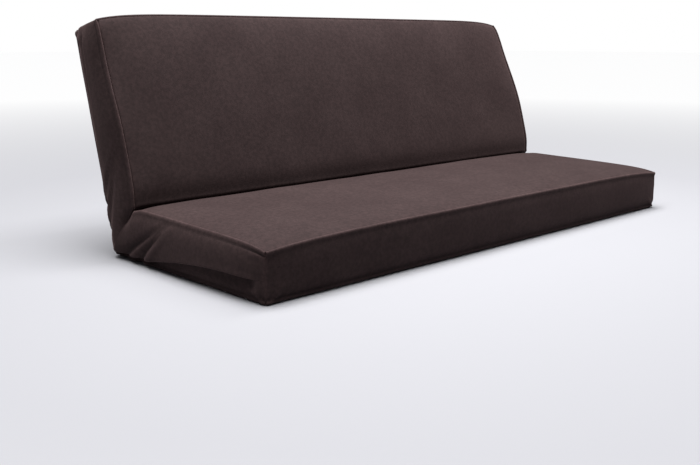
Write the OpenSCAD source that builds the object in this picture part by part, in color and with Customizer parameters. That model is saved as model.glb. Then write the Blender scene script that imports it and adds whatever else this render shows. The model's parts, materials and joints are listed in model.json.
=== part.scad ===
// Full-size futon mattress in its zipped cover, folded as a sofa, with the seat flat on the ground.
// +X runs along its length, +Y towards the back and +Z up. The origin is under the middle of the
// whole box. The two halves are mirror images in the plane of the fold, so every piece is drawn as
// on the seat, with v measured from the free edge towards the fold, and the back's are mirrored.

/* [Mattress] */
// Length, end to end
length = 1905; // [1700:5:2100]
// Width when it lies flat, from the seat's front edge to the back's top edge
width = 1372; // [1300:2:1560]
// Thickness in the middle
thickness = 165; // [150:1:190]
// Thickness at the edges, which is the height of the boxing
edge_thickness = 135; // [130:1:150]
// Distance in which the thickness grows from the edges to the middle
crown_run = 200; // [140:5:200]
// Thickness that is left at the crease, where the top dips into the fold
crease_thickness = 125; // [120:1:130]
// Distance in which the top dips from the middle's thickness to the crease's
crease_run = 95; // [70:5:95]
// Lean of the back from upright, in degrees
recline = 17.5; // [12:0.5:30]

/* [Cover] */
// Thickness of the cover's cloth
cloth = 1.2; // [0.8:0.1:1.6]
// Room between the cover and the mattress case, above and below it
loft = 2.4; // [2.2:0.1:3]
// Distance from the cover's outside to the mattress case, at the sides
side_room = 12; // [11.5:0.5:16]

/* [Filling] */
// Thickness of the mattress case's cloth
case_cloth = 1; // [0.6:0.1:1.5]
// Thickness of the batting next to the underside
lower_batting = 25; // [20:1:25]
// Thickness of each of the two foam sheets
foam_sheet = 28; // [20:1:28]
// Thickness of the batting between the foam sheets
middle_batting = 25; // [20:1:25]

/* [Tufts] */
// Tufts in each row
tufts_per_row = 7; // [5:1:7]
// Distance between tufts in a row
tuft_pitch = 250; // [180:5:250]
// Distances of the rows from the free edge, as shares of half the width
tuft_rows = [0.31, 0.68]; // [0.31:0.01:0.68]
// Radius of a tuft's felt pad
tuft_pad_radius = 14; // [8:1:18]
// Radius of the waxed twine
twine_radius = 1.2; // [0.8:0.1:2]

/* [Zipper] */
// Height of the zipper's middle above the underside
zip_height = 70; // [60:1:80]
// Opening between the two boxing strips
zip_slot = 12; // [11.2:0.2:14]
// Depth of the tapes behind the boxing
zip_depth = 7.2; // [7.2:0.1:8]
// Width of each tape
tape_width = 14; // [10:1:16]
// Distance from the front corner at which the zipper ends
zip_start = 14; // [12:1:30]

/* [Hidden] */
half = width / 2;                          // the fold is in the middle
mitre = (90 - recline) / 2;                // angle of the fold's plane from upright
fold_gap = 0.6;                            // each half ends this far short of the fold's plane
front_y = -half * (1 + sin(recline)) / 2;  // centres the box on the origin
fold_y = front_y + half;
crown = thickness - edge_thickness;
crown_steps = 8;
crease_v = mitre_at(crease_thickness);
dip_v = crease_v - crease_run;             // the top's dip into the fold starts here
dip_steps = 8;
side_x = length / 2;

case_drop = cloth + loft;                  // depth of the mattress case below the cover's outside
fill_drop = case_drop + case_cloth;        // depth of the filling
fill_side = side_room + case_cloth;

lower_foam_z = fill_drop + lower_batting;
middle_z = lower_foam_z + foam_sheet;
upper_foam_z = middle_z + middle_batting;
upper_batting_z = upper_foam_z + foam_sheet;

zip_low = zip_height - zip_slot / 2;
zip_high = zip_height + zip_slot / 2;
tape = 0.8;                                // thickness of the tape
coil_width = 3;                            // width of half the chain
coil_height = 2.4;
chain_slit = 1.2;                          // the slider's divider passes between the two halves
stop_length = 3;

pad_thickness = 1.8;
label_size = [60, 0.6, 70];
label_z = 40;

slider_size = [13, 10];
slider_plate = 1.2;
slider_play = 0.4;                         // between a slider's plates and the chain
slider_top = coil_height + slider_play + slider_plate;
slider_rest_x = 8;                         // the two sliders meet in the middle of the top edge
bail_size = [10, 2.2, 3];                  // the bridge that holds the pull tab
bail_bar = 1;
pivot_height = slider_top + 1;
pivot_radius = 0.7;
tab_width = 7;
tab_length = 27;
tab_thickness = 1.2;
tab_window = [4.8, 3.2];                   // opening that the bail stands in
$fn = 48;

suede = "#4a3c3b";
suede_dark = "#3b3030";
canvas = "#d9cfb8";
cotton = "#efe9da";
foam = "#e7dba6";
zip_brown = "#2f2624";
metal = "#6b5f52";
felt = "#b9ab93";

// v at which a half ends, at height z
function mitre_at(z) = half - fold_gap / cos(mitre) - z * tan(mitre);
function smooth(t) = t * t * (3 - 2 * t);

// Height of the outside, as [distance from an edge, height above the underside]
crown_curve = [for (i = [0:crown_steps]) let (t = i / crown_steps)
    [crown_run * t, edge_thickness + crown * (1 - pow(1 - t, 2))]];
// The same from the free edge to the fold, where the top dips
top_curve = concat(crown_curve, [for (i = [0:dip_steps]) let (t = i / dip_steps)
    [dip_v + crease_run * t, thickness - (thickness - crease_thickness) * smooth(t)]]);
function top_at(v) = lookup(v, top_curve);

// Points drop below the top's outside, from v0 to the fold
function top_points(drop, v0) = concat([[v0, top_at(v0) - drop]],
    [for (p = top_curve) if (p[0] > v0) [p[0], p[1] - drop]],
    [[mitre_at(crease_thickness - drop), crease_thickness - drop]]);
// Points drop below the outside, along one end's crown, at the distance x from the end
function end_points(drop, x) = concat([[x, lookup(x, crown_curve) - drop]],
    [for (p = crown_curve) if (p[0] > x) [p[0], p[1] - drop]]);
function reversed(points) = [for (i = [len(points) - 1:-1:0]) points[i]];

// ---- Outlines across a half: v to the right, z up ----

// Flat layer from z0 to z1 that reaches the fold
module flat_layer(z0, z1, v0) {
    polygon([[v0, z0], [mitre_at(z0), z0], [mitre_at(z1), z1], [v0, z1]]);
}

// Layer from z0 up to the top, less drop
module crowned_layer(z0, drop, v0) {
    polygon(concat([[v0, z0], [mitre_at(z0), z0]], reversed(top_points(drop, v0))));
}

// The same in a section from end to end: x to the right, from the left end, and z up
module end_to_end_layer(z0, drop, inset) {
    left = end_points(drop, inset);
    polygon(concat([[length - inset, z0], [inset, z0]], left,
        [for (p = reversed(left)) [length - p[0], p[1]]]));
}

// Rectangle that doesn't reach the fold
module edge_strip(v0, v1, z0, z1) {
    translate([v0, z0]) square([v1 - v0, z1 - z0]);
}

// ---- Placing an outline ----

module along_x(x0, x1) {
    translate([x0, front_y, 0]) rotate([90, 0, 90]) linear_extrude(x1 - x0) children();
}

// From end to end, less inset at each
module across(inset = 0) {
    along_x(inset - side_x, side_x - inset) children();
}

// What is given, cut to the crown at both ends, down to z0
module below_end_crowns(z0, drop, inset) {
    intersection() {
        children();
        translate([-side_x, front_y + half + 1, 0]) rotate([90, 0, 0])
            linear_extrude(half + 2) end_to_end_layer(z0, drop, inset);
    }
}

// Everything from z0 up to the crowned outside, less drop, that is at least inset inside the edges
module crowned_block(z0, drop, inset) {
    below_end_crowns(z0, drop, inset) across(inset) crowned_layer(z0, drop, inset);
}

// A cloth of thickness t over that block
module crowned_sheet(drop, t, inset) {
    low = crease_thickness / 2;
    difference() {
        crowned_block(low, drop, inset);
        translate([0, 0, -drop - t]) below_end_crowns(low, 0, -1) across(-1)
            polygon(concat([[-1, low], [half, low], [half, crease_thickness]],
                reversed(top_points(0, -1))));
    }
}

// A sheet t thick, inset from one end: side is -1 at the left and 1 at the right
module at_end(side, inset, t) {
    x_outer = side * (side_x - inset);
    along_x(side < 0 ? x_outer : x_outer - t, side < 0 ? x_outer + t : x_outer) children();
}

module on_back() {
    translate([0, fold_y, 0]) mirror([0, cos(mitre), sin(mitre)]) translate([0, -fold_y, 0])
        children();
}

// ---- Cover ----

module top_panel() color(suede) crowned_sheet(0, cloth, 0);
module underside_panel() color(suede_dark) across() flat_layer(0, cloth, 0);

// The strip of the end boxing next to the top panel, with its edge turned in to the zipper
module upper_boxing(side, turn_v) {
    color(suede) {
        below_end_crowns(zip_high, cloth, 0) at_end(side, 0, cloth)
            crowned_layer(zip_high, cloth, cloth);
        at_end(side, 0, zip_depth) flat_layer(zip_high, zip_high + cloth, turn_v);
    }
}

// The strip of the end boxing next to the underside panel
module lower_boxing(side, turn_v) {
    color(suede_dark) {
        at_end(side, 0, cloth) flat_layer(cloth, zip_low, cloth);
        at_end(side, 0, zip_depth) flat_layer(zip_low - cloth, zip_low, turn_v);
    }
}

module plain_boxing() color(suede) across() edge_strip(0, cloth, cloth, edge_thickness - cloth);

// One of the two strips of the boxing along the top edge
module split_boxing(z0, z1, turn_z) {
    color(suede) {
        across() edge_strip(0, cloth, z0, z1);
        across(cloth) edge_strip(0, zip_depth, turn_z, turn_z + cloth);
    }
}

// ---- Zipper: two tapes, each with half of the coil chain ----

module end_zipper(side, tape_v, coil_v) {
    color(zip_brown) for (s = [-1, 1]) {
        inner = zip_height + s * chain_slit / 2;
        tape_z = [min(inner, inner + s * tape_width), max(inner, inner + s * tape_width)];
        coil_z = [min(inner, inner + s * coil_width), max(inner, inner + s * coil_width)];
        at_end(side, zip_depth, tape) flat_layer(tape_z[0], tape_z[1], tape_v);
        at_end(side, zip_depth - coil_height, coil_height) flat_layer(coil_z[0], coil_z[1], coil_v);
    }
}

module long_zipper() {
    color(zip_brown) for (s = [0, 1]) translate([0, 0, zip_height]) mirror([0, 0, s]) {
        across(zip_depth)
            edge_strip(zip_depth, zip_depth + tape, chain_slit / 2, chain_slit / 2 + tape_width);
        across(zip_depth - coil_height)
            edge_strip(zip_depth - coil_height, zip_depth, chain_slit / 2, chain_slit / 2 + coil_width);
    }
}

module end_stops() {
    stop_width = chain_slit + 2 * coil_width;
    color(metal) for (side = [-1, 1])
        at_end(side, zip_depth - coil_height, coil_height) edge_strip(
            zip_start - stop_length, zip_start, zip_height - stop_width / 2, zip_height + stop_width / 2);
}

// X along the chain, Y across it and Z outwards from the tape, with the mouth towards +X
module slider() {
    divider = [3.5, 0.6];
    flange = [0.7, 2.2];
    bottom = -tape - slider_play - slider_plate;
    color(metal) {
        for (z = [bottom, slider_top - slider_plate])
            translate([-slider_size[0] / 2, -slider_size[1] / 2, z])
                cube([slider_size[0], slider_size[1], slider_plate]);
        translate([slider_size[0] / 2 - divider[0], -divider[1] / 2, bottom])
            cube([divider[0], divider[1], slider_top - bottom]);
        for (s = [-1, 1])
            translate([-slider_size[0] / 2, s * (slider_size[1] - flange[0]) / 2 - flange[0] / 2,
                slider_top - slider_plate - flange[1]])
                cube([slider_size[0], flange[0], flange[1] + slider_plate / 2]);
        translate([0, bail_size[1] / 2, slider_top]) rotate([90, 0, 0])
            linear_extrude(bail_size[1]) difference() {
                translate([-bail_size[0] / 2, -slider_plate / 2])
                    square([bail_size[0], bail_size[2] + slider_plate / 2]);
                translate([bail_bar - bail_size[0] / 2, -slider_plate])
                    square([bail_size[0] - 2 * bail_bar, bail_size[2] - bail_bar + slider_plate]);
            }
    }
}

// Lies over the slider's tail, towards -X, and turns on the bar that passes under the bail
module pull_tab() {
    grip_hole = 1.4;
    color(metal) translate([0, 0, pivot_height]) {
        translate([0, 0, -tab_thickness / 2]) linear_extrude(tab_thickness) difference() {
            union() {
                translate([-tab_length, -tab_width / 2]) square([tab_length, tab_width]);
                translate([-tab_length, 0]) circle(r = tab_width / 2);
            }
            translate([-tab_window[0] - pivot_radius, -tab_window[1] / 2])
                square([tab_window[0], tab_window[1]]);
            translate([-tab_length, 0]) circle(r = grip_hole);
        }
        rotate([90, 0, 0]) cylinder(r = pivot_radius, h = tab_width, center = true);
    }
}

// Puts a slider or tab at its resting place on the long zipper
module on_chain(side) {
    on_back() translate([side * slider_rest_x, front_y + zip_depth, zip_height])
        mirror([side > 0 ? 1 : 0, 0, 0]) rotate([90, 0, 0]) children();
}

// ---- Mattress case and filling ----

module case_top() color(canvas) crowned_sheet(case_drop, case_cloth, side_room);

module case_underside() {
    color(canvas) across(side_room) flat_layer(case_drop, case_drop + case_cloth, side_room);
}

module case_border() {
    color(canvas) {
        across(side_room) edge_strip(side_room, side_room + case_cloth, fill_drop,
            top_at(side_room) - fill_drop);
        for (side = [-1, 1]) below_end_crowns(fill_drop, fill_drop, side_room)
            at_end(side, side_room, case_cloth) crowned_layer(fill_drop, fill_drop, fill_side);
    }
}

module label() {
    color("white") translate([-label_size[0] / 2, front_y + side_room - label_size[1], label_z])
        cube(label_size);
}

module batting(z0, t) color(cotton) across(fill_side) flat_layer(z0, z0 + t, fill_side);
module foam_layer(z0) color(foam) across(fill_side) flat_layer(z0, z0 + foam_sheet, fill_side);
module crowned_batting() color(cotton) crowned_block(upper_batting_z, fill_drop, fill_side);

// ---- Tufts ----

module at_tufts() {
    for (share = tuft_rows, i = [0:tufts_per_row - 1])
        translate([(i - (tufts_per_row - 1) / 2) * tuft_pitch, front_y + share * half, 0]) children();
}

module tuft_twines() {
    color(felt) at_tufts() translate([0, 0, case_drop])
        cylinder(r = twine_radius, h = thickness - 2 * case_drop);
}

module tuft_pads() {
    color(felt) at_tufts() for (z = [case_drop - pad_thickness, thickness - case_drop])
        translate([0, 0, z]) cylinder(r = tuft_pad_radius, h = pad_thickness);
}

// ---- Seat ----

module seat_top_panel() top_panel();
module seat_underside_panel() underside_panel();
module front_boxing() plain_boxing();
module seat_left_upper_boxing() upper_boxing(-1, cloth);
module seat_left_lower_boxing() lower_boxing(-1, cloth);
module seat_right_upper_boxing() upper_boxing(1, cloth);
module seat_right_lower_boxing() lower_boxing(1, cloth);
module seat_left_zipper() end_zipper(-1, zip_start, zip_start);
module seat_right_zipper() end_zipper(1, zip_start, zip_start);
module zipper_end_stops() end_stops();
module seat_case_top() case_top();
module seat_case_underside() case_underside();
module seat_case_border() case_border();
module law_label() label();
module seat_upper_batting() crowned_batting();
module seat_upper_foam() foam_layer(upper_foam_z);
module seat_middle_batting() batting(middle_z, middle_batting);
module seat_lower_foam() foam_layer(lower_foam_z);
module seat_lower_batting() batting(fill_drop, lower_batting);
module seat_tuft_twines() tuft_twines();
module seat_tuft_pads() tuft_pads();

// ---- Back ----

module back_front_panel() on_back() top_panel();
module back_rear_panel() on_back() underside_panel();
module top_front_boxing() on_back() split_boxing(zip_high, edge_thickness - cloth, zip_high);
module top_rear_boxing() on_back() split_boxing(cloth, zip_low, zip_low - cloth);
module back_left_front_boxing() on_back() upper_boxing(-1, zip_depth);
module back_left_rear_boxing() on_back() lower_boxing(-1, zip_depth);
module back_right_front_boxing() on_back() upper_boxing(1, zip_depth);
module back_right_rear_boxing() on_back() lower_boxing(1, zip_depth);
module back_left_zipper() on_back() end_zipper(-1, zip_depth + tape, zip_depth);
module back_right_zipper() on_back() end_zipper(1, zip_depth + tape, zip_depth);
module top_zipper() on_back() long_zipper();
module back_case_front() on_back() case_top();
module back_case_rear() on_back() case_underside();
module back_case_border() on_back() case_border();
module back_front_batting() on_back() crowned_batting();
module back_front_foam() on_back() foam_layer(upper_foam_z);
module back_middle_batting() on_back() batting(middle_z, middle_batting);
module back_rear_foam() on_back() foam_layer(lower_foam_z);
module back_rear_batting() on_back() batting(fill_drop, lower_batting);
module back_tuft_twines() on_back() tuft_twines();
module back_tuft_pads() on_back() tuft_pads();

// ---- Sliders ----

module left_slider() on_chain(-1) slider();
module right_slider() on_chain(1) slider();
module left_pull_tab() on_chain(-1) pull_tab();
module right_pull_tab() on_chain(1) pull_tab();

seat_top_panel();
seat_underside_panel();
front_boxing();
seat_left_upper_boxing();
seat_left_lower_boxing();
seat_right_upper_boxing();
seat_right_lower_boxing();
seat_left_zipper();
seat_right_zipper();
zipper_end_stops();
seat_case_top();
seat_case_underside();
seat_case_border();
law_label();
seat_upper_batting();
seat_upper_foam();
seat_middle_batting();
seat_lower_foam();
seat_lower_batting();
seat_tuft_twines();
seat_tuft_pads();
back_front_panel();
back_rear_panel();
top_front_boxing();
top_rear_boxing();
back_left_front_boxing();
back_left_rear_boxing();
back_right_front_boxing();
back_right_rear_boxing();
back_left_zipper();
back_right_zipper();
top_zipper();
back_case_front();
back_case_rear();
back_case_border();
back_front_batting();
back_front_foam();
back_middle_batting();
back_rear_foam();
back_rear_batting();
back_tuft_twines();
back_tuft_pads();
left_slider();
right_slider();
left_pull_tab();
right_pull_tab();
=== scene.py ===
"""Looks of the futon mattress: its zipped suede cover, the zipper and what is inside.

Shapes are worked out in millimetres on one half of the mattress: x from end to end, v from the half's
free edge towards the fold, z up from the underside. The back's half is the mirror image of the seat's
in the plane of the fold.
"""

import json
import math

import bmesh
import bpy
import numpy as np
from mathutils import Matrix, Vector


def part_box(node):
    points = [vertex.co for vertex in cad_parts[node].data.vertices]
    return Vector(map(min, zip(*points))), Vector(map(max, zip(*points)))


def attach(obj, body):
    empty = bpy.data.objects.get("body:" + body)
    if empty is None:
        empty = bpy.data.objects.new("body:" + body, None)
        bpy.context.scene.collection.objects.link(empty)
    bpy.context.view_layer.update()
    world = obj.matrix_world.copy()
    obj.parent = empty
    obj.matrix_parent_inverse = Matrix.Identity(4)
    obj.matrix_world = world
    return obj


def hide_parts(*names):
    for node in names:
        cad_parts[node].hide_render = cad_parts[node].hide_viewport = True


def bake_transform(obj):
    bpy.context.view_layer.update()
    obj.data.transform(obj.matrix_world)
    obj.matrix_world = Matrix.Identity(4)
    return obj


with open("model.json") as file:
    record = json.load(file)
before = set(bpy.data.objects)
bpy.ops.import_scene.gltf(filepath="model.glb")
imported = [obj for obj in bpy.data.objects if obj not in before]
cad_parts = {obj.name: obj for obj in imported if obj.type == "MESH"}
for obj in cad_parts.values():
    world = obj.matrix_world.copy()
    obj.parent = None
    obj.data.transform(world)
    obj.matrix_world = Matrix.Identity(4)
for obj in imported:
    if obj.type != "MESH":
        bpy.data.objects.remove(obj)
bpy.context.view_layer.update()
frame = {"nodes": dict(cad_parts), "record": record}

# ---- Measures from the frame ----

MM = 0.001
HALVES = ("seat", "back")
ENDS = {"left": -1, "right": 1}
fold_joint = next(j for j in frame["record"]["behaviour"]["joints"] if j["name"] == "fold")
underside_low, underside_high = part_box("seat_underside_panel")
chain_low, chain_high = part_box("seat_left_zipper")
SIDE = underside_high.x / MM                      # half the length
FRONT = underside_low.y / MM
FOLD = fold_joint["pos_m"][1] / MM
HALF = FOLD - FRONT
OPENING = math.radians(fold_joint["range_deg"][1])
MITRE = OPENING / 2                               # the fold's plane, from upright
TO_BACK = np.array([math.cos(MITRE), math.sin(MITRE)])   # its normal, in y and z
ZIP_HEIGHT = (chain_low.z + chain_high.z) / 2 / MM
ZIP_START = chain_low.y / MM - FRONT
CHAIN_DEPTH = chain_low.x / MM + SIDE             # from the outside to the top of the chain

# ---- The cover's shape, in mm ----

CLOTH = 1.2
BLEND = 4.5                 # the cloth turns in this distance on each side of the fold's plane
PLATEAU = {"seat": 167.5, "back": 170.5}
FREE_LIFT = 70.0            # distance in which the top rises from the seam at the free edge
END_LIFT = 60.0             # the same from an end seam
CREASE_HEIGHT = 155.0       # of the top over the fold, flat
CREASE_WIDTH = 45.0         # the top sinks to that height within about this distance
# The pads round off towards where they meet: depth there, distance
ROLL = {"seat": (9.0, 26.0), "back": (12.0, 34.0)}
BOW = 26.0                  # the back's right end stands out this much half-way up
UNDER_LIFT = 5.0            # the seams at the underside stand this high
UNDER_INSET = 4.0
SLUMP = 1.5                 # the back's rear edge draws in this much more at the top
FOLD_RADIUS = 12.0          # of the underside where it turns up into the back
FACE = 3.5                  # the boxing's face stands this far outside the seam line

# Edge of a panel, turned down into the seam: distance inside the seam line, depth
PANEL_EDGE = [(2.6, 10.0), (1.0, 7.0), (0.9, 4.2), (1.8, 2.2), (3.6, 1.0), (7.0, 0.3)]
# Edge of the boxing, rolled over the seam: distance outside the seam line, depth
LIP = [(-2.4, 10.0), (-1.5, 5.5), (-0.3, 1.5), (1.0, -0.5), (3.0, -2.4), (5.4, -1.9), (6.6, 1.2),
       (5.8, 4.8), (4.4, 8.0), (3.5, 12.5)]
# The same along the back's top edge, where the seam lies flush
FLUSH_LIP = [(-2.4, 10.0), (-1.5, 4.5), (-0.2, 0.8), (1.2, 0.4), (2.9, 0.7), (4.4, 1.8), (5.0, 3.8),
             (4.7, 6.0), (4.0, 9.0), (3.5, 12.5)]
# Edge of the boxing at a corner of the mattress: distance from the corner line, depth
CORNER = [(2.2, 8.0), (1.0, 4.5), (0.4, 2.2), (0.7, 0.9), (2.0, 0.2)]


def smooth(t):
    t = np.clip(t, 0, 1)
    return t * t * (3 - 2 * t)


def rise(d, run):
    """From 0 at an edge to 1 far from it."""
    return 1 - np.exp(-np.maximum(d, 0) / run)


def free_seam(half, d):
    """Height of the seam along the free edge, d from the nearer end."""
    return 131 + 15 * rise(d, 120) if half == "seat" else 140 + 9 * rise(d, 60)


def end_seam(half, v):
    """Height of the seam along an end, before the fold."""
    if half == "seat":
        return 131 + 13 * rise(v, 50) + 0.022 * v
    return 140 + 8 * rise(v, 20) + 20 * smooth((v - 100) / 280)


def under_inset(half, v):
    """How far the seams at the underside stand in."""
    return UNDER_INSET + (SLUMP * np.exp(-v / 260) if half == "back" else 0 * v)


def free_line(half, d):
    """Where the free edge's seam runs: v, d from the nearer end."""
    return 0 * d if half == "seat" else 15 * np.exp(-d / 90) - 3


def rumple(x, v, seed, size=1.0):
    """Shallow, broad unevenness of cloth over batting, within about size."""
    random = np.random.default_rng(seed)
    total = 0 * x
    for wave in np.linspace(150, 520, 9):
        way = random.uniform(0, math.pi)
        phase = random.uniform(0, 2 * math.pi)
        along = x * math.cos(way) + v * math.sin(way)
        total = total + np.sin(2 * math.pi * along / wave + phase) * (wave / 520)
    return total * size / 3


def top_height(half, d, v):
    """Height of the top panel where the mattress lies flat."""
    plateau = PLATEAU[half]
    at_free = np.exp(-v / FREE_LIFT)
    at_end = np.exp(-d / END_LIFT)
    corner = plateau - end_seam(half, 0)
    h = (plateau - (plateau - free_seam(half, d)) * at_free - (plateau - end_seam(half, v)) * at_end
         + corner * at_free * at_end)
    from_meeting = np.maximum(HALF - v - h * math.tan(MITRE), 0)
    depth, run = ROLL[half]
    h = h - depth * np.exp(-(from_meeting / run) ** 1.5)
    near_fold = np.exp(-((HALF - v) / CREASE_WIDTH) ** 2)
    return h + (CREASE_HEIGHT - 3 * at_end - h) * near_fold


def fold_up(v, h):
    """Moves a point of the seat's half from where it lies flat to where it is when folded."""
    q = HALF - v
    radius = np.hypot(q, h)
    lean = np.arctan2(q, h)
    low = 0 * radius
    high = low + 0.5
    for _ in range(40):
        share = (low + high) / 2
        distance = -radius * np.sin(lean + share * OPENING - MITRE)
        more = smooth((BLEND + distance) / (2 * BLEND)) > share
        low = np.where(more, share, low)
        high = np.where(more, high, share)
    lean = lean + (low + high) / 2 * OPENING
    return HALF - radius * np.sin(lean), radius * np.cos(lean)


def placed(half, x, v, z):
    """Points of a half, in metres, in the row's frame."""
    x, v, z = np.broadcast_arrays(x, v, z)
    y = FRONT + v
    if half == "back":
        x = x + BOW * np.sin(math.pi * np.clip(v / HALF, 0, 1) ** 0.75) * smooth((x / SIDE - 0.4) / 0.6)
        across = (y - FOLD) * TO_BACK[0] + z * TO_BACK[1]
        y = y - 2 * across * TO_BACK[0]
        z = z - 2 * across * TO_BACK[1]
    return np.stack([x, y, z], axis=-1) * MM


def both_halves(grid_of):
    """One grid across the fold, from grid_of(half), whose first axis runs to the fold."""
    seat, back = (grid_of(half) for half in HALVES)
    return np.concatenate([seat, back[::-1][1:]])


# ---- Meshes ----

def add_mesh(name, points, faces, material, smooth_faces=True):
    mesh = bpy.data.meshes.new(name)
    mesh.from_pydata(points.reshape(-1, 3).tolist(), [], faces)
    mesh.polygons.foreach_set("use_smooth", [smooth_faces] * len(mesh.polygons))
    mesh.materials.append(material)
    piece = bpy.data.objects.new(name, mesh)
    bpy.context.scene.collection.objects.link(piece)
    return piece


def grid_faces(grid, outside, first):
    """Quads of a grid of points numbered from first, turned so that they look to outside."""
    rows, columns = grid.shape[:2]
    at = np.arange(rows * columns).reshape(rows, columns) + first
    faces = np.stack([at[:-1, :-1], at[1:, :-1], at[1:, 1:], at[:-1, 1:]], axis=-1).reshape(-1, 4)
    i, j = rows // 4, columns // 2
    normal = np.cross(grid[i + 1, j] - grid[i, j], grid[i, j + 1] - grid[i, j])
    return faces if normal @ np.array(outside) > 0 else faces[:, ::-1]


def cloth_piece(name, grids, outside, material, thickness=CLOTH):
    """Cloth through one or more grids of points. outside is a direction that its outer face looks to."""
    faces = []
    first = 0
    for grid in grids:
        faces += grid_faces(grid, outside, first).tolist()
        first += grid.shape[0] * grid.shape[1]
    piece = add_mesh(name, np.concatenate([grid.reshape(-1, 3) for grid in grids]), faces, material)
    thick = piece.modifiers.new("thickness", "SOLIDIFY")
    thick.thickness = thickness * MM
    thick.offset = -1
    return piece


def across_fold(piece):
    """Bakes the piece's placement into its mesh; it is not attached to either half."""
    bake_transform(piece)


def stations(start, end, edge_rows, step):
    """Distances from start to end, close together near the edge at start."""
    first = edge_rows[-1][0]
    near = first + np.array([5, 11, 19, 29])
    far = np.arange(near[-1] + step, end - step / 2, step)
    return np.concatenate([near, far, [end]]) + start


# ---- Materials ----

class Nodes:
    """Makes and links the nodes of one material."""

    def __init__(self, name):
        self.material = bpy.data.materials.new(name)
        self.material.use_nodes = True
        self.tree = self.material.node_tree
        self.shader = self.tree.nodes["Principled BSDF"]
        self.place = self.tree.nodes.new("ShaderNodeTexCoord").outputs["Object"]

    def link(self, output, node_input):
        self.tree.links.new(output, node_input)

    def noise(self, scale, detail=3.0, roughness=0.6, stretch=None):
        node = self.tree.nodes.new("ShaderNodeTexNoise")
        node.inputs["Scale"].default_value = scale
        node.inputs["Detail"].default_value = detail
        node.inputs["Roughness"].default_value = roughness
        place = self.place
        if stretch:
            mapping = self.tree.nodes.new("ShaderNodeMapping")
            mapping.inputs["Scale"].default_value = stretch
            self.link(place, mapping.inputs["Vector"])
            place = mapping.outputs["Vector"]
        self.link(place, node.inputs["Vector"])
        return node.outputs["Fac"]

    def ramp(self, value, low, high, colours):
        node = self.tree.nodes.new("ShaderNodeValToRGB")
        node.color_ramp.elements[0].position = low
        node.color_ramp.elements[1].position = high
        for element, colour in zip(node.color_ramp.elements, colours):
            element.color = (*colour, 1)
        self.link(value, node.inputs["Fac"])
        return node.outputs["Color"]

    def mix(self, a, b, share, blend="MULTIPLY"):
        node = self.tree.nodes.new("ShaderNodeMix")
        node.data_type = "RGBA"
        node.blend_type = blend
        node.inputs["Factor"].default_value = share
        self.link(a, node.inputs["A"])
        self.link(b, node.inputs["B"])
        return node.outputs["Result"]

    def to_range(self, value, low, high):
        node = self.tree.nodes.new("ShaderNodeMapRange")
        node.inputs["To Min"].default_value = low
        node.inputs["To Max"].default_value = high
        self.link(value, node.inputs["Value"])
        return node.outputs["Result"]

    def bump(self, height, strength, distance, under=None):
        node = self.tree.nodes.new("ShaderNodeBump")
        node.inputs["Strength"].default_value = strength
        node.inputs["Distance"].default_value = distance
        self.link(height, node.inputs["Height"])
        if under:
            self.link(under, node.inputs["Normal"])
        return node.outputs["Normal"]


def grey(value):
    return (value, value, value)


def suede():
    """Microsuede: a short nap that clouds where it is brushed this way and that, with painted shade in its
    hollows, grooves and creases and a painted highlight along sharp edges and seam lips.
    """
    n = Nodes("suede")
    clouds = n.noise(6.0, detail=4.0, roughness=0.6)
    mottle = n.noise(85.0, detail=5.0, roughness=0.75)
    fibres = n.noise(1500.0, detail=2.0)
    colour = n.ramp(clouds, 0.36, 0.66, [(0.0460, 0.0280, 0.0280), (0.0575, 0.0362, 0.0358)])
    colour = n.mix(colour, n.ramp(mottle, 0.40, 0.60, [grey(0.60), grey(1.0)]), 0.85)
    colour = n.mix(colour, n.ramp(fibres, 0.3, 0.7, [grey(0.72), grey(1.0)]), 0.6)
    # painted shade and highlight: the base colour darkens where the mesh is hollow and lightens on ridges
    # and seam lips, by pointiness
    edges = n.tree.nodes.new("ShaderNodeNewGeometry").outputs["Pointiness"]
    colour = n.mix(colour, n.ramp(edges, 0.47, 0.56, [grey(0.40), grey(1.0)]), 1.0)
    n.link(colour, n.shader.inputs["Base Color"])
    n.link(n.to_range(mottle, 0.80, 0.96), n.shader.inputs["Roughness"])
    nap = n.bump(fibres, 0.35, 0.0004)
    n.link(n.bump(mottle, 0.3, 0.0014, nap), n.shader.inputs["Normal"])
    n.shader.inputs["Sheen Weight"].default_value = 0.16
    n.shader.inputs["Sheen Roughness"].default_value = 0.40
    n.shader.inputs["Sheen Tint"].default_value = (0.62, 0.40, 0.39, 1)
    n.shader.inputs["Specular IOR Level"].default_value = 0.1
    return n.material


def woven(name, dark, light, scale, roughness=0.9):
    """A plain weave of threads that cross."""
    n = Nodes(name)
    along = n.noise(scale, detail=2.0, stretch=(1.0, 8.0, 8.0))
    across = n.noise(scale, detail=2.0, stretch=(8.0, 1.0, 1.0))
    threads = n.mix(along, across, 0.5, "MIX")
    n.link(n.ramp(threads, 0.35, 0.65, [dark, light]), n.shader.inputs["Base Color"])
    n.link(n.bump(threads, 0.5, 0.0004), n.shader.inputs["Normal"])
    n.shader.inputs["Roughness"].default_value = roughness
    n.shader.inputs["Specular IOR Level"].default_value = 0.15
    return n.material


def fluffy(name, dark, light, scale):
    """Felted or carded fibre."""
    n = Nodes(name)
    tufts = n.noise(scale, detail=6.0, roughness=0.7)
    n.link(n.ramp(tufts, 0.3, 0.7, [dark, light]), n.shader.inputs["Base Color"])
    n.link(n.bump(tufts, 0.8, 0.002), n.shader.inputs["Normal"])
    n.shader.inputs["Roughness"].default_value = 1.0
    return n.material


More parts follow.
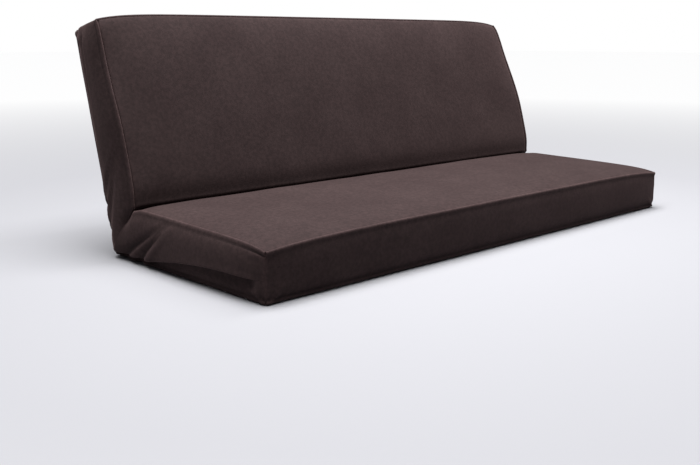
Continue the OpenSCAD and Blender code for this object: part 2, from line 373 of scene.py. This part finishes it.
def foam_rubber():
    """Open cells."""
    n = Nodes("foam")
    cells = n.tree.nodes.new("ShaderNodeTexVoronoi")
    cells.inputs["Scale"].default_value = 500.0
    n.link(n.place, cells.inputs["Vector"])
    cell = cells.outputs["Distance"]
    colour = n.ramp(cell, 0.1, 0.6, [(0.80, 0.70, 0.42), (0.62, 0.52, 0.28)])
    n.link(colour, n.shader.inputs["Base Color"])
    n.link(n.bump(cell, 0.6, 0.0006), n.shader.inputs["Normal"])
    n.shader.inputs["Roughness"].default_value = 0.9
    return n.material


def zipper_metal():
    """Bronzed metal, brighter where it is rubbed."""
    n = Nodes("zipper_metal")
    wear = n.noise(260.0, detail=5.0)
    colour = n.ramp(wear, 0.45, 0.7, [(0.030, 0.023, 0.018), (0.085, 0.066, 0.050)])
    n.link(colour, n.shader.inputs["Base Color"])
    n.link(n.to_range(wear, 0.42, 0.60), n.shader.inputs["Roughness"])
    n.link(n.bump(wear, 0.15, 0.0001), n.shader.inputs["Normal"])
    n.shader.inputs["Metallic"].default_value = 1.0
    return n.material


def nylon():
    """The coil: dark, smooth plastic, a little rubbed."""
    n = Nodes("coil_nylon")
    wear = n.noise(300.0, detail=4.0)
    colour = n.ramp(wear, 0.4, 0.7, [(0.012, 0.008, 0.008), (0.028, 0.020, 0.019)])
    n.link(colour, n.shader.inputs["Base Color"])
    n.link(n.to_range(wear, 0.55, 0.72), n.shader.inputs["Roughness"])
    n.shader.inputs["Specular IOR Level"].default_value = 0.15
    return n.material


FLOOR_FADE = 7.0            # metres from the middle at which the floor is palest


def floor_paint():
    """Painted light: pale, and painted paler away from the middle where less lamp light reaches, so that it
    meets the background without a line.
    """
    n = Nodes("floor")
    mapping = n.tree.nodes.new("ShaderNodeMapping")
    mapping.inputs["Scale"].default_value = (1 / FLOOR_FADE,) * 3
    n.link(n.place, mapping.inputs["Vector"])
    nearness = n.tree.nodes.new("ShaderNodeTexGradient")
    nearness.gradient_type = "SPHERICAL"
    n.link(mapping.outputs["Vector"], nearness.inputs["Vector"])
    # painted light: the colour brightens away from the middle to make up for the lamp light falling off
    # there
    colour = n.ramp(nearness.outputs["Fac"], 0.0, 0.75, [grey(0.42), (0.250, 0.250, 0.266)])
    n.link(colour, n.shader.inputs["Base Color"])
    n.shader.inputs["Roughness"].default_value = 0.8
    return n.material


SUEDE = suede()
METAL = zipper_metal()
TAPE = woven("zipper_tape", (0.018, 0.012, 0.012), (0.045, 0.032, 0.030), 900.0)
COIL_NYLON = nylon()
CAD_MATERIALS = {
    "case_canvas": woven("case_canvas", (0.56, 0.50, 0.39), (0.74, 0.68, 0.56), 500.0),
    "cotton_batting": fluffy("cotton_batting", (0.72, 0.68, 0.58), (0.90, 0.87, 0.80), 90.0),
    "foam": foam_rubber(),
    "felt": fluffy("felt", (0.38, 0.32, 0.24), (0.56, 0.49, 0.38), 400.0),
    "tuft_twine": woven("tuft_twine", (0.46, 0.41, 0.31), (0.70, 0.64, 0.52), 1200.0),
    "zipper_metal": METAL,
    "label": woven("label", (0.80, 0.80, 0.78), (0.92, 0.92, 0.90), 900.0),
}

# ---- Camera, light and floor ----

CAMERA_AT = (-2.278, -2.0371, 0.630)
CAMERA_AZIMUTH = math.radians(-42.05)
CAMERA_ELEVATION = math.radians(7.99)
CAMERA_LENS = 46.15
CAMERA_SHIFT = (0.0714, -0.0964)


def add_camera():
    data = bpy.data.cameras.new("camera")
    data.lens = CAMERA_LENS
    data.shift_x, data.shift_y = CAMERA_SHIFT
    camera = bpy.data.objects.new("camera", data)
    backwards = Vector((math.sin(CAMERA_AZIMUTH) * math.cos(CAMERA_ELEVATION),
                        -math.cos(CAMERA_AZIMUTH) * math.cos(CAMERA_ELEVATION),
                        math.sin(CAMERA_ELEVATION)))
    camera.location = CAMERA_AT
    camera.rotation_euler = (-backwards).to_track_quat("-Z", "Y").to_euler()
    bpy.context.scene.collection.objects.link(camera)
    bpy.context.scene.camera = camera


def add_light(name, kind, energy, location=(0, 0, 0), tilt=0.0):
    data = bpy.data.lights.new(name, kind)
    data.energy = energy
    light = bpy.data.objects.new(name, data)
    light.location = location
    light.rotation_euler = (math.radians(tilt), 0, 0)
    bpy.context.scene.collection.objects.link(light)
    return data


def add_lights():
    """A very large, soft light from above, and a nearer one that brightens the back's upper edge."""
    sky = add_light("sky", "SUN", 7.0, tilt=-4)
    sky.angle = math.radians(50)
    softbox = add_light("softbox", "AREA", 52.0, location=(0.1, -0.2, 1.9))
    softbox.shape = "RECTANGLE"
    softbox.size = 2.6
    softbox.size_y = 0.6


def add_room():
    world = bpy.data.worlds.new("world")
    bpy.context.scene.world = world
    world.use_nodes = True
    tree = world.node_tree
    backdrop = tree.nodes["Background"]
    backdrop.inputs["Color"].default_value = (1.0, 1.0, 1.0, 1)
    glow = tree.nodes.new("ShaderNodeBackground")
    glow.inputs["Color"].default_value = (0.95, 0.95, 1.0, 1)
    glow.inputs["Strength"].default_value = 0.14
    seen = tree.nodes.new("ShaderNodeLightPath")
    either = tree.nodes.new("ShaderNodeMixShader")
    tree.links.new(seen.outputs["Is Camera Ray"], either.inputs["Fac"])
    tree.links.new(glow.outputs["Background"], either.inputs[1])
    tree.links.new(backdrop.outputs["Background"], either.inputs[2])
    tree.links.new(either.outputs["Shader"], tree.nodes["World Output"].inputs["Surface"])
    reach = 40.0
    corners = np.array([[-reach, -reach, 0], [reach, -reach, 0], [reach, reach, 0], [-reach, reach, 0]])
    floor = add_mesh("floor", corners - [0, 0, 0.0006], [[0, 1, 2, 3]], floor_paint())
    add_lights()


bpy.context.scene.view_settings.view_transform = "Standard"
add_camera()
add_room()

# ---- Cover: panels ----

STEP = 11.0
EDGE_V = [row[0] for row in PANEL_EDGE]
EDGE_DROP = [row[1] for row in PANEL_EDGE]
FLUSH_DROP = [10.0, 4.0, 1.6, 0.9, 0.5, 0.2]   # the same depths along the back's top edge
main_v = np.concatenate([stations(0, 500, PANEL_EDGE, STEP), np.linspace(500, HALF, 26)[1:]])
panel_v = np.concatenate([EDGE_V, main_v])
panel_drop_v = np.concatenate([EDGE_DROP, 0 * main_v])
half_d = stations(0, SIDE, PANEL_EDGE, STEP)
half_d = np.concatenate([EDGE_V, half_d])
half_drop = np.concatenate([EDGE_DROP, 0 * half_d[len(EDGE_DROP):]])
panel_d = np.concatenate([half_d, half_d[::-1][1:]])
panel_x = np.concatenate([half_d - SIDE, (SIDE - half_d)[::-1][1:]])
panel_drop_x = np.concatenate([half_drop, half_drop[::-1][1:]])


def top_grid(half):
    v = panel_v[:, None]
    d = panel_d[None, :]
    height = top_height(half, d, v)
    inside = rise(v, 60) * rise(d, 60) * (1 - np.exp(-((HALF - v) / 90) ** 2))
    height = height + rumple(panel_x[None, :], v, 3 if half == "seat" else 4, 1.4) * inside
    drop_v = panel_drop_v
    if half == "back":
        drop_v = np.concatenate([FLUSH_DROP, 0 * main_v])
    drop = np.maximum(drop_v[:, None], panel_drop_x[None, :])
    along, z = fold_up(v + free_line(half, d) * np.exp(-v / 120), height - drop)
    return placed(half, panel_x[None, :], along, z)


def under_grid(half):
    """The underside in its folded shape, with a rounded bend at the fold."""
    inset = under_inset(half, 0.0)
    bend_start = HALF - FOLD_RADIUS * math.tan(MITRE)
    turn = np.linspace(0, MITRE, 6)[1:]
    flat_v = np.concatenate([EDGE_V, stations(0, bend_start - inset, PANEL_EDGE, STEP * 2)]) + inset
    v = np.concatenate([flat_v, bend_start + FOLD_RADIUS * np.sin(turn)])
    bend = np.concatenate([0 * flat_v, FOLD_RADIUS * (1 - np.cos(turn))])
    drop_v = np.concatenate([EDGE_DROP, 0 * v[len(EDGE_DROP):]])
    beside = panel_d[None, :] < HALF / 2
    x = np.sign(panel_x)[None, :] * (np.abs(panel_x)[None, :] - under_inset(half, v)[:, None] * beside)
    edge = np.minimum(v[:, None] - inset, panel_d[None, :])
    lift = UNDER_LIFT * np.clip(1 - edge / 12, 0, 1) ** 2
    drop = np.maximum(drop_v[:, None], panel_drop_x[None, :])
    return placed(half, x, v[:, None], bend[:, None] + lift + drop)


top_panel = cloth_piece("top_panel", [both_halves(top_grid)], (0, 0, 1), SUEDE)
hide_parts("seat_top_panel", "back_front_panel")
across_fold(top_panel)
underside_panel = cloth_piece("underside_panel", [both_halves(under_grid)], (0, 0, -1), SUEDE)
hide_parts("seat_underside_panel", "back_rear_panel")
across_fold(underside_panel)

# ---- Cover: boxing ----


def lip_rows(at, way, lip=LIP):
    """Rows of a rolled edge: share of the height, distance up from there, distance outwards."""
    return [(at, way * depth, outwards) for outwards, depth in lip]


def face_rows(low, high, count):
    return [(share, 0.0, FACE) for share in np.linspace(low, high, count)]


def bulge(share, size):
    return size * (1 - np.abs(2 * share - 1) ** 3)


SEAM_SHARE = 0.07           # the seam allowance takes this share of the boxing's height
CORNER_REACH = 45.0         # the foot draws in towards a corner within about this distance


def under_base(half, share, v):
    """The boxing's foot curves in under the mattress."""
    inset = under_inset(half, v)
    reach = 0.15 + 0.05 * (inset - UNDER_INSET)
    return -inset * np.clip(1 - np.maximum(share - SEAM_SHARE, 0) / reach, 0, 1) ** 2


def corner_fold(s, z, way=0.75):
    """A crease that runs up from a bottom corner, s from the corner."""
    across = z - way * s
    length = np.hypot(s, z)
    return 4.5 * np.exp(-(across / 6) ** 2) * smooth(length / 18) * (1 - smooth((length - 30) / 60))


def boxing_columns(length_half, step):
    """Distances along a boxing from its corner line to its middle, with the depth of each."""
    corner_s = [row[0] for row in CORNER]
    corner_depth = [row[1] for row in CORNER]
    rest = stations(0, length_half, CORNER, step)
    return np.concatenate([corner_s, rest]), np.concatenate([corner_depth, 0 * rest])


def long_boxing(half, rows, bulge_size, zipped=None):
    """The boxing along a free edge. rows go up; zipped draws the rows in towards the zipper."""
    corner = SIDE + FACE - 1
    s, depth = boxing_columns(corner, STEP)
    s_all = np.concatenate([s, s[::-1][1:]])
    depth = np.concatenate([depth, depth[::-1][1:]])[None, :]
    x = np.concatenate([s - corner, (corner - s)[::-1][1:]])[None, :]
    d = np.maximum(s_all[None, :] - FACE, 0)
    share, up, out = (np.array(column)[:, None] for column in zip(*rows))
    top = free_seam(half, d)
    z = UNDER_LIFT + share * (top - UNDER_LIFT) + up
    true_share = (z - UNDER_LIFT) / (top - UNDER_LIFT)
    swell = bulge(true_share, bulge_size)
    if zipped is not None:
        swell = swell * smooth(np.abs(z - ZIP_HEIGHT) / zipped)
    foot = under_base(half, true_share, 0.0)
    o = out + swell * rise(d, 50) + foot - depth
    x = x + np.sign(x) * foot * np.exp(-s_all[None, :] / CORNER_REACH)
    if zipped is None:
        o = o + corner_fold(s_all[None, :], z) + rumple(x, z, 7, 0.8) * rise(d, 60)
    return placed(half, x, free_line(half, d) * np.clip(true_share, 0, 1) - o, z)


BOXING_ROWS = lip_rows(0, 1) + face_rows(0.13, 0.87, 16) + lip_rows(1, -1)[::-1]
front_grid = long_boxing("seat", BOXING_ROWS, 7.0)
front_boxing = cloth_piece("seat_front_boxing", [front_grid], (0, -1, 0), SUEDE)
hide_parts("front_boxing")
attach(front_boxing, "seat")


def top_boxing(rows, name, flat_height, *nodes):
    piece = cloth_piece(name, [long_boxing("back", rows, 6.0, zipped=45)], (0, 0.3, 1), SUEDE)
    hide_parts(*nodes)
    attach(piece, "back")
    return piece


SLOT = 6.0                  # half the opening between the two strips along the zipper
zip_share = ZIP_HEIGHT / free_seam("back", SIDE)
slot_share = SLOT / free_seam("back", SIDE)
SLOT_EDGE = [(12.0, FACE), (7.0, FACE - 0.2), (3.0, FACE - 0.8), (1.0, FACE - 1.8), (0.0, FACE - 3.0),
             (0.0, FACE - 6.0), (0.0, FACE - 9.5)]


def slot_rows(way):
    """Rows of an edge that is turned in to the zipper."""
    return [(zip_share + way * slot_share, way * away, out) for away, out in SLOT_EDGE]


front_rows = (slot_rows(1)[::-1] + face_rows(zip_share + slot_share + 0.12, 0.87, 9)
              + lip_rows(1, -1, FLUSH_LIP)[::-1])
rear_rows = lip_rows(0, 1) + face_rows(0.13, zip_share - slot_share - 0.12, 7) + slot_rows(-1)
top_boxing(front_rows, "top_front_strip", 0.09, "top_front_boxing")
top_boxing(rear_rows, "top_rear_strip", 0.085, "top_rear_boxing")

# ---- Cover: boxing of the two ends ----

END_BULGE = {"seat": 17.0, "back": 17.0}
FLAP_FLARE = 3.5            # the flap stands out from the strip under it
RECESS = 12.0               # the strip under the flap stands in this far
LIP_ROOM = 45.0             # below this height the lower strip's rolled seam gets narrower
# On the seat's half, where each pleat starts and ends: (v, z) above, (v, z) below
PLEATS = [((378, 150), (619, 16)), ((377, 142), (544, 14))]
# The flap's turned-in edge: distance up from it, distance outwards
HEM = [(12, 0), (5, 0.6), (1.5, 0.8), (0.2, 0.2), (-0.4, -1.0), (0.1, -2.4), (4, -3.0), (11, -3.0)]


def flap_share(half, v):
    """On the back the flap lies flatter than on the seat."""
    return 1 if half == "seat" else 0.35 + 0.65 * smooth((v - 380) / 200)


def flap_height(v):
    """Height of the flap's edge, which sinks towards the fold."""
    return ZIP_HEIGHT - 9 - 44 * np.clip((v - 110) / 385, 0, 1) ** 2


def pleat_depth(v, z):
    """How far the cloth stands in at the pleats, which run down to the fold and open towards it."""
    total = 0 * v
    for (v0, z0), (v1, z1) in PLEATS:
        length = math.hypot(v1 - v0, z1 - z0)
        along = ((v - v0) * (v1 - v0) + (z - z0) * (z1 - z0)) / length ** 2
        away = ((v - v0) * (z1 - z0) - (z - z0) * (v1 - v0)) / length
        open_by = np.clip(along, 0, 1)
        ends = smooth((along + 0.04) / 0.12) * (1 - 0.6 * smooth((along - 0.9) / 0.3))
        depth = (1.5 + 10 * open_by) * ends
        total = total + depth * np.exp(-(away / (3.5 + 9 * open_by)) ** 2)
        ridge = away - (8 + 16 * open_by)
        total = total - 0.45 * depth * np.exp(-(ridge / (5 + 8 * open_by)) ** 2)
    return total


def row_share(at, flap):
    """Share of the boxing's height for a row given by a share or by where it is from the flap's edge."""
    if at in ("flap", "lining"):
        return flap
    if not isinstance(at, tuple):
        return at + 0 * flap
    side_of_flap, part_way = at
    return flap * part_way if side_of_flap == "below" else flap + (1 - flap) * part_way


def end_boxing(half, rows, part):
    """A strip of an end's boxing on one half, from its corner to the fold, as v, z and outwards."""
    corner = -(FACE - 1)
    s, depth = boxing_columns(500, STEP)
    flat_v = np.concatenate([s + corner, main_v[main_v > 500]])
    s = (flat_v - corner)[:, None]
    depth = np.concatenate([depth, 0 * flat_v[len(depth):]])[:, None]
    v = np.maximum(flat_v, 0)[:, None]
    top_v, top_z = fold_up(v, top_height(half, 0 * v, v))
    top_v = top_v + np.minimum(flat_v, 0)[:, None] + free_line(half, 0 * v) * np.exp(-v / 120)
    bend_start = HALF - FOLD_RADIUS * math.tan(MITRE)
    turn = MITRE * np.clip((flat_v - bend_start) / (HALF - bend_start), 0, 1)[:, None]
    bent_v = bend_start + FOLD_RADIUS * np.sin(turn)
    foot_v = np.where(flat_v[:, None] > bend_start, bent_v, flat_v[:, None])
    foot_z = UNDER_LIFT + FOLD_RADIUS * (1 - np.cos(turn))
    height = np.hypot(top_v - foot_v, top_z - foot_z)
    at, up, out = zip(*rows)
    flap = (flap_height(v) - UNDER_LIFT) / height
    share = np.concatenate([row_share(a, flap) for a in at], axis=1)
    at_foot = np.array([a == 0 for a in at])[None, :]
    squeeze = np.where(at_foot, np.minimum(1, flap * height / LIP_ROOM), 1) if part == "lower" else 1
    share = share + np.array(up)[None, :] * squeeze / height
    grid_v = foot_v + share * (top_v - foot_v)
    grid_z = foot_z + share * (top_z - foot_z)
    true = np.clip(share, 0, 1)
    free = rise(s, 50)
    foot = under_base(half, true, v)
    o = np.array(out)[None, :] + bulge(true, END_BULGE[half]) * free + foot - depth
    grid_v = grid_v - foot * np.exp(-s / CORNER_REACH)
    o = o + corner_fold(s, grid_z) + rumple(grid_v, grid_z, 11, 1.0) * rise(s, 60)
    pleats = pleat_depth(grid_v, grid_z) * (1 - smooth((true - 0.86) / 0.12))
    o = o - pleats * (1 if half == "seat" else 0.6)
    closed = 1 - smooth((s - 26) / 26)
    near_flap = smooth(share / np.maximum(flap, 0.02))
    if part == "lower":
        o = o - RECESS * flap_share(half, v) * near_flap * (1 - closed)
    else:
        shut = 1 - flap_share(half, v) * (1 - closed)
        o = o - FLAP_FLARE * shut * (1 - smooth((share - flap) / 0.2))
        lining = np.array([a == "lining" for a in at])[None, :]
        o = o - RECESS * flap_share(half, v) * (1 - closed) * lining
    return grid_v, grid_z, o


def end_grid(side, rows, part):
    def grid_of(half):
        v, z, o = end_boxing(half, rows, part)
        return placed(half, side * (SIDE + o), v, z)
    return both_halves(grid_of)


hem_rows = [("flap", up, FACE + FLAP_FLARE + out) for up, out in HEM[::-1]]
above_rows = [(("above", a), 0.0, FACE + FLAP_FLARE * (1 - a)) for a in np.linspace(0.2, 0.84, 10)]
upper_rows = [("lining", 21.0, FACE - 3.0)] + hem_rows + above_rows + lip_rows(1, -1)[::-1]
below_rows = [(("below", a), 0.0, FACE) for a in np.linspace(0.3, 1.0, 8)]
tucked_rows = [("flap", 5.0, FACE - 0.5), ("flap", 8.0, FACE - 2.5), ("flap", 8.2, FACE - 7)]
lower_rows = lip_rows(0, 1) + below_rows + tucked_rows
for name, side in ENDS.items():
    upper_grid = end_grid(side, upper_rows, "upper")
    upper = cloth_piece(f"{name}_upper_boxing", [upper_grid], (side, 0, 0), SUEDE)
    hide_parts(f"seat_{name}_upper_boxing", f"back_{name}_front_boxing")
    across_fold(upper)
    lower_grid = end_grid(side, lower_rows, "lower")
    lower = cloth_piece(f"{name}_lower_boxing", [lower_grid], (side, 0, 0), SUEDE)
    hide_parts(f"seat_{name}_lower_boxing", f"back_{name}_rear_boxing")
    across_fold(lower)

# ---- Zipper ----

TAPE_THICKNESS = 0.8
COIL = (0.6, 3.6)           # half the coil lies between these distances from the zipper's middle
COIL_HEIGHT = 2.2
# A row of teeth's four rails: distance from the zipper's middle, distance outwards
COIL_RAILS = [(COIL[1], 0), (COIL[0], 0), (COIL[0], COIL_HEIGHT), (COIL[1] - 0.5, COIL_HEIGHT)]
TOOTH_PITCH = 2.6
TOOTH_ENDS = [(0.0, 0.62), (0.08, 0.54), (0.16, 0.46), (0.04, 0.58)]   # shares of the pitch, by corner
TAPE_BEHIND = 4.6           # behind the edge of the lower strip
FLAP_TO_ZIP = 9.0


def add_coil(name, rails, pitch):
    """Rows of teeth. Each row has four rails: at the tape, then at the teeth's tops."""
    points = []
    faces = []
    box = [(2 * k, 2 * k + 1, 2 * m + 1, 2 * m) for k, m in ((0, 1), (1, 2), (2, 3), (3, 0))]
    box += [(0, 2, 4, 6), (7, 5, 3, 1)]
    for row in rails:
        steps = np.linalg.norm(np.diff(row[0], axis=0), axis=1)
        along = np.concatenate([[0], np.cumsum(steps)])
        starts = np.arange(0, along[-1] - pitch * MM, pitch * MM)
        corners = []
        for rail, ends in zip(row, TOOTH_ENDS):
            for share in ends:
                at = starts + share * pitch * MM
                corners.append(np.stack([np.interp(at, along, rail[:, axis]) for axis in range(3)], axis=-1))
        first = sum(len(p) for p in points)
        points.append(np.stack(corners, axis=1).reshape(-1, 3))
        faces += [[first + 8 * k + corner for corner in face] for k in range(len(starts)) for face in box]
    piece = add_mesh(name, np.concatenate(points), faces, COIL_NYLON, smooth_faces=False)
    mesh = bmesh.new()
    mesh.from_mesh(piece.data)
    bmesh.ops.recalc_face_normals(mesh, faces=mesh.faces)
    mesh.to_mesh(piece.data)
    mesh.free()
    return piece


ZIP_ENDS = {"seat": ZIP_START, "back": 2.0}   # v at which the zipper ends


def end_zipper_grid(side, rows):
    """Points along an end's zipper from the front corner over the fold to the back's top corner."""
    def grid_of(half):
        v, z, o = end_boxing(half, rows, "lower")
        return placed(half, side * (SIDE + o), v, z)[v[:, 0] > ZIP_ENDS[half]]
    return both_halves(grid_of)


def end_zipper_row(up, out):
    return ("flap", FLAP_TO_ZIP + up, FACE - TAPE_BEHIND + out)


for name, side in ENDS.items():
    tape_rows = [end_zipper_row(up, 0) for up in np.linspace(-13, 13, 7)]
    tape = cloth_piece(f"{name}_zipper_tape", [end_zipper_grid(side, tape_rows)], (side, 0, 0), TAPE,
                       TAPE_THICKNESS)
    rails = []
    for way in (-1, 1):
        rail_rows = [end_zipper_row(way * up, out) for up, out in COIL_RAILS]
        grid = end_zipper_grid(side, rail_rows)
        rails.append([grid[:, k] for k in range(4)])
    coil = add_coil(f"{name}_zipper_coil", rails, TOOTH_PITCH)
    for piece in (tape, coil):
        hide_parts(f"seat_{name}_zipper", f"back_{name}_zipper")
        across_fold(piece)

top_zip_reach = SIDE - 4
tape_grids = []
rails = []
chain_x = np.linspace(-top_zip_reach, top_zip_reach, 60)
for way in (-1, 1):
    tape_z = ZIP_HEIGHT + way * np.linspace(COIL[0], 13.6, 4)
    tape_grids.append(placed("back", chain_x[None, :], CHAIN_DEPTH + COIL_HEIGHT, tape_z[:, None]))
    rails.append([placed("back", chain_x, CHAIN_DEPTH + COIL_HEIGHT - out, ZIP_HEIGHT + way * up)
                  for up, out in COIL_RAILS])
tape = cloth_piece("top_zipper_tape", tape_grids, (0, 0.3, 1), TAPE, TAPE_THICKNESS)
coil = add_coil("top_zipper_coil", rails, TOOTH_PITCH)
for piece in (tape, coil):
    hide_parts("top_zipper")
    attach(piece, "back")

# ---- CAD nodes that stay ----

EDGE_ROUND = 0.25
for subpart in frame["record"]["subparts"]:
    node = frame["nodes"][subpart["node"]]
    slot = subpart["material_slot"]
    if slot not in CAD_MATERIALS:
        continue
    node.data.materials.clear()
    node.data.materials.append(CAD_MATERIALS[slot])
    if slot == "zipper_metal":
        bevel = node.modifiers.new("rounded edges", "BEVEL")
        bevel.width = EDGE_ROUND * MM
        bevel.segments = 2
        bevel.limit_method = "ANGLE"
